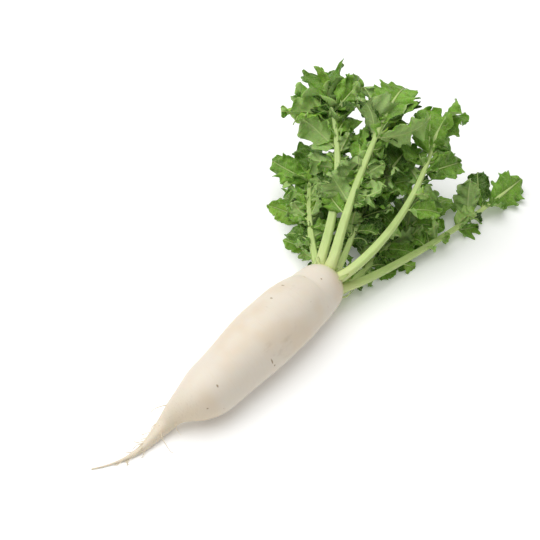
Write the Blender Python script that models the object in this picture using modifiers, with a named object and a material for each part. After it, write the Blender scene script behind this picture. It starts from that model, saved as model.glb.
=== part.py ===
"""A white daikon radish lying on its side, with its whole tuft of leaves.

The model is built with the middle of the crown at x = 0, above the floor at z = 0. The root runs towards -X
and the leaves grow towards +X. A parent empty then moves everything so that the origin is on the floor, under
the middle of the whole plant. Units are metres.
"""

import math
from collections import namedtuple

import bmesh
import bpy
from mathutils import Matrix, Vector
from mathutils.bvhtree import BVHTree

MM = 0.001

# Root: its girth, and the round dome that ends it at the crown.
ROOT_RADIUS = 34 * MM
DOME_RADIUS = 28 * MM
CROWN_HEIGHT = 31 * MM  # the dome's middle above the floor
DOME_STEPS = 6
CONTACT_DEPTH = 0.5 * MM  # the weight of the root flattens its underside by this much
ROOT_SIDES = 24
ROOT_STEP = 7 * MM

# Behind the dome, by distance back from the crown: a shoulder that widens to the full girth, a barrel, a slow
# taper, and a blunt lower end that runs out into the tail.
SHOULDER_END = 80 * MM
BARREL_END = 110 * MM
LOWER_START = 190 * MM
LOWER_END = 245 * MM
ROOT_LENGTH = 330 * MM
TAPER = 5 * MM  # how much the radius loses between the barrel and the lower end
TAIL_RADIUS = 24 * MM  # of the tail's cone, if it went on up to the start of the lower end
TIP_RADIUS = 0.7 * MM
# The tail swings sideways as it leaves the root, and its last stretch hooks further.
SWING = 16 * MM
HOOK_START = 270 * MM
HOOK = 24 * MM

# Leaves: stalks are tubes, and every blade is a thin solid.
BLADE_THICKNESS = 1.0 * MM
GAP = 0.4 * MM
FLOOR_CLEARANCE = 0.9 * MM  # lowest height of the middle of a blade
STALK_POINTS = 18
SQUARE_LENGTH = 2 * MM  # a stalk leaves the dome squarely for this length
TURN_OUT = 18 * MM  # and bends to its own heading over this length

# One leaf. tilt and angle place its foot on the dome: tilt is measured from +X, and angle around it, from +Y
# upwards. Headings turn from +X towards +Y and pitches rise from the floor, at the foot and at the end. All are
# in degrees. girth is the stalk's radius at both ends in millimetres. twist rolls the leaf's flat side about the
# stalk. blade is the end blade's length in millimetres, droop its bend, and leaflets how many sit below it.
Leaf = namedtuple("Leaf", "tilt angle heading pitch length girth twist blade droop leaflets")
LEAVES = (
    Leaf(37, 190, (-12, -8), (-10, 4), 226, (5.2, 2.4), 38, 55, 14, 4),
    Leaf(37, 141, (-14, 19), (12, 33), 184, (6.0, 2.2), -20, 62, 75, 5),
    Leaf(14, 115, (24, -2), (12, 32), 122, (3.8, 1.8), 14, 52, 45, 3),
    Leaf(37, 88, (24, 5), (30, 44), 156, (6.0, 2.4), 10, 68, 74, 4),
    Leaf(37, 36, (14, 54), (36, 26), 186, (5.8, 2.2), -18, 66, 90, 5),
    Leaf(37, 341, (52, 32), (17, 6), 136, (4.6, 2.0), 10, 60, 30, 5),
    Leaf(37, 235, (8, -3), (-10, 7), 148, (4.8, 2.0), -14, 62, 25, 4),
    Leaf(14, 305, (14, 26), (5, 13), 156, (3.9, 1.8), 10, 68, 40, 4),
    Leaf(37, 285, (56, 40), (-10, 4), 126, (4.6, 2.0), 8, 58, 20, 4),
)
FIRST_LEAFLET, LAST_LEAFLET = 0.44, 0.92  # where leaflets start and stop, as shares of the stalk
LEAFLET_RISE = 34  # degrees by which the two rows of leaflets fold up from a leaf's flat side
LEAFLET_SIZES = (0.52, 0.90)  # first and last leaflet, as shares of the end blade

# Colours, as linear red, green and blue.
ROOT_COLOUR = (0.82, 0.75, 0.62)
STALK_COLOUR = (0.38, 0.55, 0.16)
BLADE_COLOUR = (0.10, 0.27, 0.05)


def smooth_step(low, high, value):
    share = min(1.0, max(0.0, (value - low) / (high - low)))
    return share * share * (3 - 2 * share)


def make_material(name, colour, roughness):
    material = bpy.data.materials.new(name)
    material.use_nodes = True
    shader = material.node_tree.nodes["Principled BSDF"]
    shader.inputs["Base Color"].default_value = (*colour, 1)
    shader.inputs["Roughness"].default_value = roughness
    shader.inputs["Metallic"].default_value = 0
    return material


def tube(name, points, radii, sides, collection):
    """A curve object along the points, with a radius at each one."""
    curve = bpy.data.curves.new(name, "CURVE")
    curve.dimensions = "3D"
    curve.bevel_depth = 1.0
    curve.bevel_resolution = sides // 2 - 2
    curve.use_fill_caps = True
    spline = curve.splines.new("POLY")
    spline.points.add(len(points) - 1)
    for spot, point, radius in zip(spline.points, points, radii):
        spot.co = (*point, 1)
        spot.radius = radius
    thing = bpy.data.objects.new(name, curve)
    collection.objects.link(thing)
    return thing


def as_mesh(curve_object, collection):
    """The curve object's evaluated mesh as a mesh object, with its caps joined on."""
    graph = bpy.context.evaluated_depsgraph_get()
    mesh = bpy.data.meshes.new_from_object(curve_object.evaluated_get(graph))
    shape = bmesh.new()
    shape.from_mesh(mesh)
    bmesh.ops.remove_doubles(shape, verts=shape.verts, dist=0.01 * MM)
    bmesh.ops.recalc_face_normals(shape, faces=shape.faces)
    shape.to_mesh(mesh)
    shape.free()
    name, place = curve_object.name, curve_object.matrix_world.copy()
    bpy.data.objects.remove(curve_object)
    thing = bpy.data.objects.new(name, mesh)
    thing.matrix_world = place
    collection.objects.link(thing)
    return thing


def root_radius(back):
    """The root's radius at a distance back from the crown."""
    shoulder = (ROOT_RADIUS - DOME_RADIUS) * (1 - smooth_step(DOME_RADIUS, SHOULDER_END, back))
    body = ROOT_RADIUS - shoulder - TAPER * smooth_step(BARREL_END, LOWER_START, back)
    left = min(1, (ROOT_LENGTH - back) / (ROOT_LENGTH - LOWER_START))
    tail = TIP_RADIUS + (TAIL_RADIUS - TIP_RADIUS) * left**2
    ended = smooth_step(LOWER_START, LOWER_END, back)
    return body * (1 - ended) + tail * ended


def tail_swing(back):
    """How far the middle of the root is shifted sideways at a distance back from the crown."""
    hooked = max(0, (back - HOOK_START) / (ROOT_LENGTH - HOOK_START))
    return SWING * smooth_step(LOWER_START, LOWER_END, back) + HOOK * hooked**2


def root_line():
    """Points along the middle of the root, from the crown to the tip, and the radius at each one."""
    stations = []
    for i in range(1, DOME_STEPS + 1):
        turned = math.pi / 2 * i / DOME_STEPS
        stations.append((DOME_RADIUS * (1 - math.cos(turned)), DOME_RADIUS * math.sin(turned)))
    steps = round((ROOT_LENGTH - DOME_RADIUS) / ROOT_STEP)
    for i in range(1, steps + 1):
        back = DOME_RADIUS + (ROOT_LENGTH - DOME_RADIUS) * i / steps
        stations.append((back, root_radius(back)))
    points, radii = [], []
    for back, radius in stations:
        heavy = smooth_step(12 * MM, 24 * MM, radius)
        on_floor = radius - CONTACT_DEPTH * heavy + 0.5 * GAP * (1 - heavy)
        settled = smooth_step(30 * MM, 60 * MM, back)
        height = CROWN_HEIGHT * (1 - settled) + on_floor * settled
        points.append(Vector((-back, tail_swing(back), height)))
        radii.append(radius)
    return points, radii


def make_root(material, collection):
    """The root with its crown plate and tail, cut flat where it presses on the floor."""
    points, radii = root_line()
    root = as_mesh(tube("root", points, radii, ROOT_SIDES, collection), collection)
    shape = bmesh.new()
    shape.from_mesh(root.data)
    cut = bmesh.ops.bisect_plane(
        shape, geom=shape.verts[:] + shape.edges[:] + shape.faces[:], plane_co=(0, 0, 0), plane_no=(0, 0, -1),
        clear_outer=True,
    )
    rim = [edge for edge in cut["geom_cut"] if isinstance(edge, bmesh.types.BMEdge)]
    bmesh.ops.edgeloop_fill(shape, edges=rim)
    bmesh.ops.recalc_face_normals(shape, faces=shape.faces)
    shape.to_mesh(root.data)
    shape.free()
    root.data.shade_smooth()
    root.data.set_sharp_from_angle(angle=math.radians(40))
    root.data.materials.append(material)
    return root


def unit(heading, pitch):
    """A direction from its heading and pitch in degrees."""
    heading, pitch = math.radians(heading), math.radians(pitch)
    return Vector((math.cos(pitch) * math.cos(heading), math.cos(pitch) * math.sin(heading), math.sin(pitch)))


def stalk_line(leaf):
    """Points along a stalk, its radius at each one, and its direction at each one."""
    tilt, angle = math.radians(leaf.tilt), math.radians(leaf.angle)
    square = Vector((math.cos(tilt), math.sin(tilt) * math.cos(angle), math.sin(tilt) * math.sin(angle)))
    foot = Vector((-DOME_RADIUS, 0, CROWN_HEIGHT)) + square * (DOME_RADIUS + GAP)
    step = leaf.length * MM / (STALK_POINTS - 2)
    points, directions = [foot, foot + square * SQUARE_LENGTH], [square, square]
    for i in range(STALK_POINTS - 2):
        share = (i + 0.5) / (STALK_POINTS - 2)
        own = unit(*(start + (end - start) * share for start, end in (leaf.heading, leaf.pitch)))
        turned = smooth_step(-0.4 * TURN_OUT, TURN_OUT, share * leaf.length * MM)
        direction = square.lerp(own, turned).normalized()
        points.append(points[-1] + direction * step)
        directions.append(direction)
    thick, thin = leaf.girth
    radii = [(thick + (thin - thick) * (i / (STALK_POINTS - 1)) ** 1.1) * MM for i in range(STALK_POINTS)]
    for point, radius in zip(points, radii):
        point.z = max(point.z, radius + GAP)
    return points, radii, directions


def blade_outline(share, lobes):
    """Half the width of a blade at a share of its length, as a share of its greatest half width."""
    body = math.sin(math.pi * min(1, max(0, share)) ** 0.8) ** 0.65 if 0 < share < 1 else 0
    return max(0.07, body * (1 - 0.16 * abs(math.sin(lobes * math.pi * share))))


Blade = namedtuple("Blade", "foot direction normal length width droop cup ruffle phase")


def shape_blade(mesh, flat, blade):
    """Bends a flat grid into a blade: it arches along its length and lifts and ruffles at its edges."""
    along = blade.direction.normalized()
    side = along.cross(blade.normal).normalized()
    up = side.cross(along).normalized()
    bend = math.radians(blade.droop)
    for vertex, (x, y) in zip(mesh.vertices, flat):
        share, across = (x + 1) / 2, y
        turned = bend * share
        forward = math.sin(turned) / bend * blade.length
        down = (1 - math.cos(turned)) / bend * blade.length
        local_up = up * math.cos(turned) + along * math.sin(turned)
        half = blade.width / 2 * blade_outline(share, 3)
        lift = blade.cup * half * across * across
        wave = blade.ruffle * across * abs(across) * math.sin(7 * share + blade.phase)
        point = blade.foot + along * forward - up * down + side * half * across + local_up * (lift + wave)
        point.z = max(point.z, FLOOR_CLEARANCE)
        vertex.co = point
    mesh.update()


def new_blade(name, material, collection, columns=7, rows=4):
    """A flat grid with a thickness, and the grid's own coordinates."""
    shape = bmesh.new()
    bmesh.ops.create_grid(shape, x_segments=columns, y_segments=rows, size=1)
    mesh = bpy.data.meshes.new(name)
    shape.to_mesh(mesh)
    shape.free()
    flat = [(vertex.co.x, vertex.co.y) for vertex in mesh.vertices]
    mesh.shade_smooth()
    mesh.materials.append(material)
    thing = bpy.data.objects.new(name, mesh)
    collection.objects.link(thing)
    skin = thing.modifiers.new("thickness", "SOLIDIFY")
    skin.thickness = BLADE_THICKNESS
    skin.offset = 0
    return thing, flat


def surface_tree(thing):
    bpy.context.view_layer.update()
    return BVHTree.FromObject(thing, bpy.context.evaluated_depsgraph_get())


def fit_blade(name, blade, material, collection, trees):
    """Makes a blade, rolling, tipping and shrinking it until it is clear of everything made before it."""
    thing, flat = new_blade(name, material, collection)
    skin = thing.modifiers["thickness"]
    skin.thickness = BLADE_THICKNESS + 2 * GAP
    for size in (1.0, 0.88, 0.76, 0.64, 0.52, 0.44):
        for roll in (0, 14, -14, 28, -28, 42, -42):
            for tip in (0, 16, -16, 30):
                side = blade.direction.cross(blade.normal).normalized()
                turn = Matrix.Rotation(math.radians(roll), 3, blade.direction)
                turn = turn @ Matrix.Rotation(math.radians(tip), 3, side)
                tried = blade._replace(
                    direction=turn @ blade.direction, normal=turn @ blade.normal,
                    length=blade.length * size, width=blade.width * size,
                )
                shape_blade(thing.data, flat, tried)
                tree = surface_tree(thing)
                if not any(tree.overlap(other) for other in trees):
                    skin.thickness = BLADE_THICKNESS
                    trees.append(surface_tree(thing))
                    return thing
    raise RuntimeError(f"no clear place for {name}")


def leaf_axes(direction, twist):
    """The side and the upper normal of a leaf at a point of its stalk."""
    side = direction.cross(Vector((0, 0, 1))).normalized()
    side = Matrix.Rotation(math.radians(twist), 3, direction) @ side
    return side, side.cross(direction).normalized()


def make_blades(number, leaf, line, material, collection, trees):
    """The end blade and the leaflets of one leaf. Leaflets alternate sides and grow towards the end."""
    points, radii, directions = line
    side, normal = leaf_axes(directions[-1], leaf.twist)
    length = leaf.blade * MM
    end = Blade(
        points[-1] + directions[-1] * (2 * GAP), directions[-1], normal, length, 0.9 * length, leaf.droop, 0.25,
        3.5 * MM, number,
    )
    fit_blade(f"leaf_{number}_end_blade", end, material, collection, trees)
    for k in range(leaf.leaflets):
        share = FIRST_LEAFLET + (LAST_LEAFLET - FIRST_LEAFLET) * k / (leaf.leaflets - 1)
        at = round(share * (STALK_POINTS - 1))
        hand = 1 if (k + number) % 2 else -1
        side, normal = leaf_axes(directions[at], leaf.twist)
        fold = Matrix.Rotation(math.radians(LEAFLET_RISE * hand), 3, directions[at])
        out, normal = fold @ side * hand, fold @ normal
        forward = math.radians(62 - 18 * share)
        direction = directions[at] * math.cos(forward) + out * math.sin(forward)
        foot = points[at] + out * (radii[at] + 2.5 * GAP)
        small, large = LEAFLET_SIZES
        length = leaf.blade * MM * (small + (large - small) * k / (leaf.leaflets - 1))
        leaflet = Blade(
            foot, direction, normal, length, 0.72 * length, leaf.droop * 0.6 + 12, 0.3, 2.5 * MM, number + 2.1 * k,
        )
        fit_blade(f"leaf_{number}_leaflet_{k + 1}", leaflet, material, collection, trees)


def centre_on_floor(collection):
    """Parents every piece to an empty, which moves the origin under the middle of the whole plant."""
    bpy.context.view_layer.update()
    graph = bpy.context.evaluated_depsgraph_get()
    corners = [
        thing.matrix_world @ Vector(corner)
        for thing in collection.objects
        for corner in thing.evaluated_get(graph).bound_box
    ]
    frame = bpy.data.objects.new("plant_origin", None)
    for thing in collection.objects:
        thing.parent = frame
    bpy.context.scene.collection.objects.link(frame)
    for axis in (0, 1):
        values = [corner[axis] for corner in corners]
        frame.location[axis] = -(min(values) + max(values)) / 2


def main():
    for thing in list(bpy.data.objects):
        bpy.data.objects.remove(thing)
    collection = bpy.data.collections.new("daikon_radish")
    bpy.context.scene.collection.children.link(collection)
    root_skin = make_material("root_skin", ROOT_COLOUR, 0.5)
    stalk_skin = make_material("leaf_stalk", STALK_COLOUR, 0.45)
    blade_skin = make_material("leaf_blade", BLADE_COLOUR, 0.5)

    trees = [surface_tree(make_root(root_skin, collection))]
    lines = [stalk_line(leaf) for leaf in LEAVES]
    for number, (points, radii, _) in enumerate(lines, 1):
        stalk = as_mesh(tube(f"leaf_{number}_stalk", points, radii, 8, collection), collection)
        stalk.data.shade_smooth()
        stalk.data.materials.append(stalk_skin)
        tree = surface_tree(stalk)
        if any(tree.overlap(other) for other in trees):
            raise RuntimeError(f"stalk {number} runs into a piece made before it")
        trees.append(tree)
    for number, (leaf, line) in enumerate(zip(LEAVES, lines), 1):
        make_blades(number, leaf, line, blade_skin, collection, trees)
    centre_on_floor(collection)


main()
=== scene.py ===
"""The looks of a daikon radish with its leaves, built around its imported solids.

The root gets a finely modelled skin, each leaf a grooved stalk with veined, toothed and ruffled blades, and
the tail its hair roots. Sizes are in metres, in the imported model's frame: +X from the tail to the leaves,
+Z up.
"""

import math
import random
from collections import namedtuple
from functools import partial

import bmesh
import bpy
import numpy as np
from bpy.props import FloatProperty, FloatVectorProperty, IntProperty, PointerProperty
from mathutils import Matrix, Vector, noise


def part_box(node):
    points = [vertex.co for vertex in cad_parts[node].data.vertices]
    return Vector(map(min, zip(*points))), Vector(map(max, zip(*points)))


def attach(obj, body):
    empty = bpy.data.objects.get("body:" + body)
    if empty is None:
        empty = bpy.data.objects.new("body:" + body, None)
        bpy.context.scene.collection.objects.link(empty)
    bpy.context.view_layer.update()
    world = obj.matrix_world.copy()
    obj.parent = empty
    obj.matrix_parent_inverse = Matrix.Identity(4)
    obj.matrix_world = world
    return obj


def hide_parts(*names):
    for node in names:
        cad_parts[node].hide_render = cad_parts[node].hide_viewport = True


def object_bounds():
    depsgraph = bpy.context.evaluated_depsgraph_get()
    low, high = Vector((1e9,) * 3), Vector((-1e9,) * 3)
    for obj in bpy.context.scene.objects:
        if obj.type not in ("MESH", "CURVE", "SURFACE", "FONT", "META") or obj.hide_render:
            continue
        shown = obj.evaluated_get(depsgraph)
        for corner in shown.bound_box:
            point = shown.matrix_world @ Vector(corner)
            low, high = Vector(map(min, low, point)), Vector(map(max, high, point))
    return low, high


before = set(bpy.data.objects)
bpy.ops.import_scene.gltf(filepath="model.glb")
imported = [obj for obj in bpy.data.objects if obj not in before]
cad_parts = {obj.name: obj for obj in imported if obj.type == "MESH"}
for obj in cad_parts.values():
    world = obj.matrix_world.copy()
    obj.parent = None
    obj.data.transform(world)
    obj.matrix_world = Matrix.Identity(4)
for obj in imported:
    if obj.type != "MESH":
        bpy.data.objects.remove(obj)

bl_info = {
    "name": "Daikon radish",
    "version": (1, 0, 0),
    "blender": (4, 5, 0),
    "location": "3D View > Sidebar > Daikon",
    "description": "Skins, leaves and hair roots of a daikon radish, with a plain studio",
    "category": "Object",
}

MM = 0.001
BODY = "root"
CAD_BOX = [list(corner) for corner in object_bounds()]
LEAVES = sorted(name.split("_")[1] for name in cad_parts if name.endswith("_stalk"))
EASED = {"interpolation_type": "SMOOTHSTEP"}


# ---------------------------------------------------------------- colours and nodes


def linear(hex_colour):
    """The linear colour, with alpha, of an sRGB hex value."""
    values = [int(hex_colour[i:i + 2], 16) / 255 for i in (0, 2, 4)]
    return (*[v / 12.92 if v <= 0.04045 else ((v + 0.055) / 1.055) ** 2.4 for v in values], 1.0)


def add_node(tree, kind, *values, **named):
    """Adds a shader node and gives its first output.

    values fill its sockets in their order. Of the named ones, those with a capital are sockets, and the
    others are the node's own settings. A socket given an output is linked to it.
    """
    made = tree.nodes.new("ShaderNode" + kind)
    for name, value in named.items():
        if name[0].islower():
            setattr(made, name, value)
    filled = list(zip([socket for socket in made.inputs if socket.enabled], values))
    filled += [(made.inputs[name], value) for name, value in named.items() if name[0].isupper()]
    for socket, value in filled:
        if isinstance(value, bpy.types.NodeSocket):
            tree.links.new(value, socket)
        else:
            socket.default_value = value
    return next(socket for socket in made.outputs if socket.enabled)


def start_material(name):
    """A new material, its node tree and its Principled shader."""
    material = bpy.data.materials.new(name)
    material.use_nodes = True
    tree = material.node_tree
    return material, tree, tree.nodes["Principled BSDF"]


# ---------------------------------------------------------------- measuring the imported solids


def node_triangles(name):
    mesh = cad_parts[name].data
    mesh.calc_loop_triangles()
    points = np.array([vertex.co for vertex in mesh.vertices], float).reshape(-1, 3)
    corners = np.array([triangle.vertices for triangle in mesh.loop_triangles])
    return points[corners]


def node_points(name):
    """The solid's corners, each one once."""
    return np.unique(node_triangles(name).reshape(-1, 3).round(6), axis=0)


def section(triangles, point, direction, reach):
    """Where the plane through point crosses the triangles' edges, within reach of the point."""
    heights = (triangles - point) @ direction
    found = []
    for a, b in ((0, 1), (1, 2), (2, 0)):
        crossing = (heights[:, a] > 0) != (heights[:, b] > 0)
        low, high = heights[crossing, a], heights[crossing, b]
        share = (low / (low - high))[:, None]
        found.append(triangles[crossing, a] * (1 - share) + triangles[crossing, b] * share)
    found = np.concatenate(found)
    return found[np.linalg.norm(found - point, axis=1) < reach]


def smooth(low, high, value):
    """An eased step from 0 at low to 1 at high."""
    share = np.clip((value - low) / (high - low), 0, 1)
    return share * share * (3 - 2 * share)


def smoothed(values, passes):
    """Evens out a run of points, keeping its ends."""
    values = np.array(values, float)
    for _ in range(passes):
        values[1:-1] = values[1:-1] * 0.5 + (values[:-2] + values[2:]) * 0.25
    return values


RootShape = namedtuple("RootShape", "line radii dome_centre dome_radius")


def measure_root():
    """The root's middle line from dome to tip, its radius at each point, and the dome at its crown."""
    triangles = node_triangles("root")
    low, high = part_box("root")
    line, radii = [], []
    for x in np.arange(high.x - 0.5 * MM, low.x, -2 * MM):
        cut = section(triangles, np.array([x, 0, 0]), np.array([1.0, 0, 0]), 1.0)
        top, bottom = cut.max(0), cut.min(0)
        half = (top[1] - bottom[1]) / 2
        line.append((x, (top[1] + bottom[1]) / 2, top[2] - half))
        radii.append(half)
    line, radii = np.array(line), np.array(radii)
    slant = np.arctan(np.gradient(line[:, 1], line[:, 0]))
    line[:, 2] += radii * (1 - np.cos(slant))
    radii = radii * np.cos(slant)
    near = line[:, 0] > high.x - 22 * MM
    x, r = line[near, 0], radii[near]
    slope, offset = np.polyfit(x, r * r + x * x, 1)
    centre = slope / 2
    dome_radius = math.sqrt(offset + centre * centre)
    dome_centre = np.array([centre, *line[near, 1:].mean(0)])
    return RootShape(smoothed(line, 6), smoothed(radii, 4), dome_centre, dome_radius)


ROOT = measure_root()
Stalk = namedtuple("Stalk", "line radii")


def measure_stalk(name):
    """The stalk's middle line, from its foot on the dome to its end, and its radius at each point."""
    triangles, points = node_triangles(name), node_points(name)
    nearest = np.argsort(np.linalg.norm(points - ROOT.dome_centre, axis=1))[:8]  # the ring at its foot
    here = points[nearest].mean(0)
    direction = here - ROOT.dome_centre
    direction /= np.linalg.norm(direction)
    line, radii, step = [here], [], 3 * MM
    while True:
        aim = line[-1] + direction * step
        cut = section(triangles, aim, direction, 14 * MM)
        if len(cut) < 6:
            break
        centre = (cut.max(0) + cut.min(0)) / 2 * 0.3 + cut.mean(0) * 0.7
        radii.append(np.linalg.norm(cut - centre, axis=1).max())
        direction = centre - line[-1]
        direction /= np.linalg.norm(direction)
        line.append(centre)
    line.append(line[-1] + direction * step * 0.5)
    radii = [radii[0], *radii, radii[-1]]
    return Stalk(smoothed(line, 14), smoothed(radii, 8))


STALKS = {number: measure_stalk(f"leaf_{number}_stalk") for number in LEAVES}
BladeShape = namedtuple("BladeShape", "foot along across up length left right bend")
BEND_TERMS = [(i, j) for i in range(4) for j in range(4) if i + j <= 3]


def bend_basis(x, y):
    return np.stack([x**i * y**j for i, j in BEND_TERMS], axis=-1)


def measure_blade(name, stalk):
    """A blade's foot on its stalk, its three directions, its size and the curve of its middle surface."""
    points = node_points(name)
    apart = np.linalg.norm(points[:, None] - points[None], axis=2)
    crowded = (apart < 0.1 * apart.max()).sum(1)
    ends = points[crowded >= 8]
    gap = np.linalg.norm(ends[:, None] - stalk.line[None], axis=2).min(1)
    away = np.linalg.norm(ends - ends[gap.argmin()], axis=1)
    foot = ends[away < 0.3 * away.max()].mean(0)
    tip = ends[away > 0.7 * away.max()].mean(0)
    along = (tip - foot) / np.linalg.norm(tip - foot)
    triangles = node_triangles(name)
    normals = np.cross(triangles[:, 1] - triangles[:, 0], triangles[:, 2] - triangles[:, 0])
    areas = np.linalg.norm(normals, axis=1) + 1e-12
    facing = normals - (normals @ along)[:, None] * along
    spread = (facing / areas[:, None]).T @ facing
    up = np.linalg.eigh(spread)[1][:, -1]
    up -= along * (up @ along)
    up /= np.linalg.norm(up) * (1 if up[2] > 0 else -1)
    across = np.cross(up, along)
    local = (points - foot) @ np.stack([along, across, up], axis=1)
    length = local[:, 0].max()
    terms = bend_basis(local[:, 0] / length, local[:, 1] / length)
    ridge = 0.05 * np.eye(len(BEND_TERMS))
    bend = np.linalg.solve(terms.T @ terms + ridge, terms.T @ (local[:, 2] / length))
    return BladeShape(foot, along, across, up, length, local[:, 1].max(), -local[:, 1].min(), bend)


def blade_surface(blade):
    """A function from distances along and across a blade, and a lift off it, to points in the frame."""

    def place(x, y, lift):
        near_x = np.clip(x / blade.length, -0.1, 1.0)
        near_y = np.clip(y, -blade.right, blade.left) / blade.length
        height = bend_basis(near_x, near_y) @ blade.bend * blade.length + lift
        return blade.foot + x[:, None] * blade.along + y[:, None] * blade.across + height[:, None] * blade.up

    return place


def arched_surface(foot, direction, normal, length, droop, cup, twist):
    """The same kind of function for a leaflet of its own, arched and twisted by angles and cupped across."""
    along = direction / np.linalg.norm(direction)
    across = np.cross(normal, along)
    across /= np.linalg.norm(across)
    up = np.cross(along, across)

    def place(x, y, lift):
        share = np.clip(x / length, -0.2, 1.1)
        arch, roll = share * droop, (share * twist)[:, None]
        forward = np.sin(arch) / droop * length
        down = (1 - np.cos(arch)) / droop * length
        out = up * np.cos(arch)[:, None] + along * np.sin(arch)[:, None]
        side = across * np.cos(roll) + out * np.sin(roll)
        raised = (lift + cup * y * y / length)[:, None] * (out * np.cos(roll) - across * np.sin(roll))
        return foot + along * forward[:, None] - up * down[:, None] + side * y[:, None] + raised

    return place


# ---------------------------------------------------------------- building meshes


UV_MAPS = ("place", "size")  # share along and across a piece, and real size in centimetres


def add_sheet(shape, columns, rows, place, uv_of, tone=0.0, closed=False):
    """Adds a grid and moves it into place. place and uv_of take arrays of 0 to 1 along and across.

    uv_of gives the values of the UV maps, one pair of columns for each map. closed merges the grid's seam.
    """
    made = bmesh.ops.create_grid(shape, x_segments=columns, y_segments=rows, size=1)["verts"]
    flat = np.array([vertex.co for vertex in made])[:, :2] / 2 + 0.5
    positions = place(flat[:, 0], flat[:, 1])
    maps = uv_of(flat[:, 0], flat[:, 1])
    layers = [shape.loops.layers.uv[name] for name in UV_MAPS]
    tone_layer = shape.verts.layers.float["tone"]
    for vertex, position, values in zip(made, positions, maps):
        vertex.co = position
        vertex[tone_layer] = tone
        for loop in vertex.link_loops:
            for i, layer in enumerate(layers):
                loop[layer].uv = values[2 * i:2 * i + 2]
    if closed:
        bmesh.ops.remove_doubles(shape, verts=made, dist=0.001 * MM)


def start_shape():
    shape = bmesh.new()
    for name in UV_MAPS:
        shape.loops.layers.uv.new(name)
    shape.verts.layers.float.new("tone")
    return shape


def finish_shape(shape, name, materials, nodes, outward=False):
    """Makes the bmesh an object that rides on the root body and stands for the named solids."""
    if outward:
        bmesh.ops.recalc_face_normals(shape, faces=shape.faces)
    mesh = bpy.data.meshes.new(name)
    shape.to_mesh(mesh)
    shape.free()
    mesh.shade_smooth()
    for material in materials:
        mesh.materials.append(material)
    piece = bpy.data.objects.new(name, mesh)
    bpy.context.scene.collection.objects.link(piece)
    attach(piece, BODY)
    if nodes:
        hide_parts(*nodes)
    return piece


def directions_along(line):
    """The unit direction at each point of a line."""
    steps = np.gradient(line, axis=0)
    return steps / np.linalg.norm(steps, axis=1)[:, None]


def frames_along(line, upper):
    """The direction, side and upper vectors at each point of a line. upper is the upper side's direction."""
    ahead = directions_along(line)
    above = np.empty_like(line)
    current = np.array(upper, float)
    for i, direction in enumerate(ahead):
        current = current - direction * (current @ direction)
        current = current / np.linalg.norm(current)
        above[i] = current
    return ahead, np.cross(above, ahead), above


def resampled(line, values, count):
    """The line and its values at evenly spaced points."""
    gone = np.concatenate([[0], np.cumsum(np.linalg.norm(np.diff(line, axis=0), axis=1))])
    at = np.linspace(0, gone[-1], count)
    points = np.stack([np.interp(at, gone, line[:, i]) for i in range(3)], axis=1)
    return points, np.interp(at, gone, values), at


def add_tube(shape, line, radii, sides, spacing, upper, profile=None, tone=0.0):
    """A closed tube along a line, rounded shut at both ends. profile scales it by place and angle."""
    length = np.linalg.norm(np.diff(line, axis=0), axis=1).sum()
    count = max(8, round(length / spacing))
    points, widths, gone = resampled(line, radii, count)
    points = smoothed(points, 4)
    _, side, above = frames_along(points, upper)
    ends = np.minimum(gone, gone[-1] - gone) / np.maximum(widths, 1e-6)
    widths = widths * np.sqrt(np.clip(1 - (1 - np.clip(ends, 0, 1)) ** 2, 0, 1))

    points[:, 2] = np.maximum(points[:, 2], widths + 0.2 * MM)

    def place(u, v):
        row = np.clip(np.round(u * (count - 1)).astype(int), 0, count - 1)
        angle = v * 2 * math.pi
        wide, high = profile(gone[row], angle) if profile else (1.0, 1.0)
        out = side[row] * (np.sin(angle) * wide)[:, None]
        rise = above[row] * (np.cos(angle) * high)[:, None]
        return points[row] + (out + rise) * widths[row][:, None]

    def uv_of(u, v):
        return np.stack([u, v, u * length * 100, v * 2 * math.pi * radii.mean() * 100], axis=1)

    add_sheet(shape, count - 1, sides, place, uv_of, tone, closed=True)


# ---------------------------------------------------------------- settings


def colour_property(name, hex_colour, description):
    """A colour that the panel shows as a swatch."""
    return FloatVectorProperty(
        name=name, description=description, subtype="COLOR", size=4, min=0, max=1, default=linear(hex_colour)
    )


def length_property(name, value, description):
    """A length that the panel shows in the scene's units."""
    return FloatProperty(
        name=name, description=description, default=value, subtype="DISTANCE", unit="LENGTH"
    )


class DaikonRootSettings(bpy.types.PropertyGroup):
    skin: colour_property("Skin", "E7DDCD", "Colour of the clean root")
    skin_warm: colour_property("Warm skin", "E2D1B8", "Colour of the broad warmer patches")
    crown: colour_property("Crown", "D0D096", "Colour of the skin round the stalks")
    tail: colour_property("Tail", "E4D7BA", "Colour of the thin tail")
    marks: colour_property("Marks", "96784C", "Colour of the specks and scars")
    waviness: length_property("Waviness", 0.7 * MM, "How far the surface wanders from a turned shape")
    crease_depth: length_property("Crease depth", 0.16 * MM, "Depth of the fine creases round the root")
    hair_count: IntProperty(name="Hair roots", description="Number of hair roots", default=22, min=0)


class DaikonLeafSettings(bpy.types.PropertyGroup):
    stalk: colour_property("Stalk", "CDE093", "Colour of the stalks")
    stalk_dark: colour_property("Stalk streaks", "97B75A", "Colour of the stalks' streaks and ends")
    stalk_foot: colour_property("Stalk foot", "CDD892", "Colour of the stalks where they meet the crown")
    upper: colour_property("Upper side", "7DAA3A", "Colour of the blades' upper side")
    upper_dark: colour_property("Dark upper side", "264B0A", "Colour of the darkest blades")
    upper_bright: colour_property("Bright upper side", "A3C94C", "Colour of the youngest blades")
    under: colour_property("Underside", "B1CF80", "Colour of the blades' underside")
    veins: colour_property("Veins", "BFD489", "Colour of the veins")
    thickness: length_property("Blade thickness", 0.5 * MM, "Thickness of a blade")
    ruffle: length_property("Ruffle", 4.2 * MM, "How far a blade's edge waves")
    crumple: length_property("Crumple", 1.1 * MM, "How far a blade buckles between its veins")


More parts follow.
